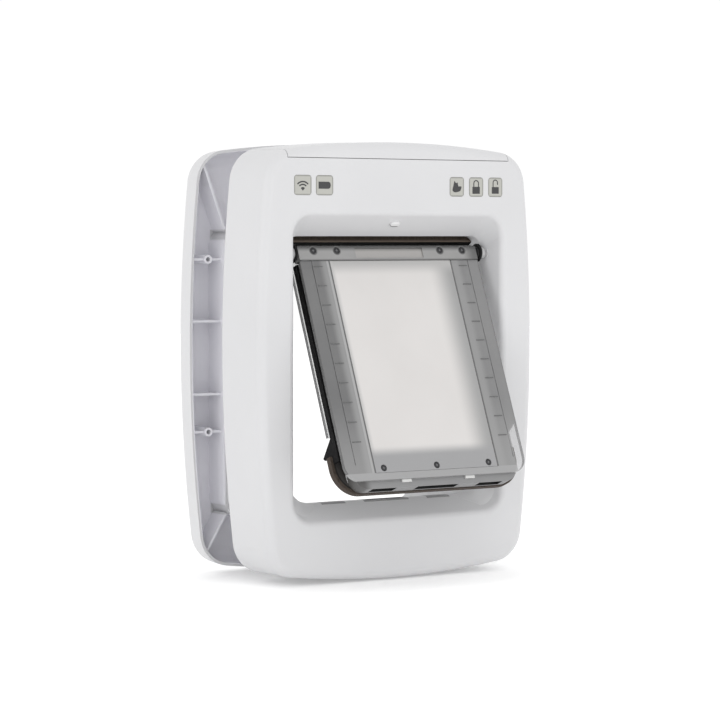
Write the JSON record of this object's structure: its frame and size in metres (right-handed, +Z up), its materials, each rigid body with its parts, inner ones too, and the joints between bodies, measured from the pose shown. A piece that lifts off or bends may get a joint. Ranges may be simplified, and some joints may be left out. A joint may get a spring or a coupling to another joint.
{
  "type": "smart pet door",
  "caption": "Pet door for a door leaf: white inside and outside frames joined by a lining, a hinged clear flap, a battery bay under a lift-off cover, status windows, keys and a sill lock.",
  "frame": {"origin": "middle of the four fixing holes, on the face that lies on the inside of the door", "axes": "+Y through the door from the inside to the outside, +Z up, +X to the right seen from the inside"},
  "size_m": [0.335, 0.2388, 0.443],
  "materials": {
    "white_shell": "fine satin moulding",
    "steel": "plain bright",
    "magnet": "dark coated",
    "cell_jacket": "printed jacket left plain",
    "tile": "smooth satin",
    "board": "solder mask",
    "dark_plastic": "moulded",
    "led": "clear epoxy",
    "coil": "varnished winding",
    "brown_seal": "brush strip",
    "black_seal": "matt",
    "smoky_clear": "clear, lightly smoked",
    "frosted": "frosted sheet",
    "grey_frame": "moulded",
    "gear_plastic": "acetal"
  },
  "bodies": {
    "frame": {"interior_housing": "white_shell", "exterior_frame": "white_shell", "interior_back_plate": "white_shell", "tunnel_sleeve": "white_shell", "soffit_sensor": "white_shell", "battery_tray": "white_shell", "back_plate_screws": "steel", "lock_motor": "steel", "battery_contacts": "steel", "sill_magnets": "magnet", "battery_cell_1": "cell_jacket", "battery_cell_2": "cell_jacket", "battery_cell_3": "cell_jacket", "battery_cell_4": "cell_jacket", "wifi_lens": "tile", "battery_lens": "tile", "control_board": "board", "key_switches": "dark_plastic", "indicator_leds": "led", "antenna_loop": "coil", "top_seal": "brown_seal", "hinge_bush_right": "dark_plastic", "hinge_bush_left": "dark_plastic", "lock_plate": "dark_plastic"},
    "flap": {"flap_top_screws": "steel", "flap_bottom_screws": "steel", "hinge_pin_right": "steel", "hinge_pin_left": "steel", "flap_magnets": "magnet", "flap_bottom_seal": "brown_seal", "flap_side_seal_right": "black_seal", "flap_side_seal_left": "black_seal", "flap_clamp_strip": "smoky_clear", "flap_front_panel": "smoky_clear", "flap_rear_panel": "smoky_clear", "flap_window": "frosted", "flap_inner_frame": "grey_frame"},
    "battery_cover": {"battery_cover": "white_shell"},
    "auto_key": {"auto_key": "tile"},
    "lock_key": {"lock_key": "tile"},
    "unlock_key": {"unlock_key": "tile"},
    "lock_bolt": {"lock_bolt": "dark_plastic"},
    "lock_pinion": {"lock_pinion": "gear_plastic", "motor_shaft": "steel"}
  },
  "joints": [
    {"name": "flap_swing", "type": "hinge", "parent": "frame", "child": "flap", "pos_m": [0, -0.0436, 0.0949], "axis": [-1, 0, 0], "range_deg": [-87.4, 42.6]},
    {"name": "battery_cover_lift", "type": "slide", "parent": "frame", "child": "battery_cover", "axis": [0, 0, 1], "range_m": [0, 0.06]},
    {"name": "auto_key_press", "type": "slide", "parent": "frame", "child": "auto_key", "axis": [0, 1, 0], "range_m": [0, 0.001], "stiffness_N_per_m": 300},
    {"name": "lock_key_press", "type": "slide", "parent": "frame", "child": "lock_key", "axis": [0, 1, 0], "range_m": [0, 0.001], "stiffness_N_per_m": 300},
    {"name": "unlock_key_press", "type": "slide", "parent": "frame", "child": "unlock_key", "axis": [0, 1, 0], "range_m": [0, 0.001], "stiffness_N_per_m": 300},
    {"name": "lock_bolt_slide", "type": "slide", "parent": "frame", "child": "lock_bolt", "axis": [0, 0, 1], "range_m": [0, 0.012]},
    {"name": "lock_pinion_spin", "type": "hinge", "parent": "frame", "child": "lock_pinion", "pos_m": [0.01665, -0.038, -0.2021], "axis": [0, 1, 0], "range_deg": [0, 70]}
  ],
  "couplings": [
    {"joint": "lock_pinion_spin", "follows": "lock_bolt_slide", "rad_per_m": 100}
  ]
}
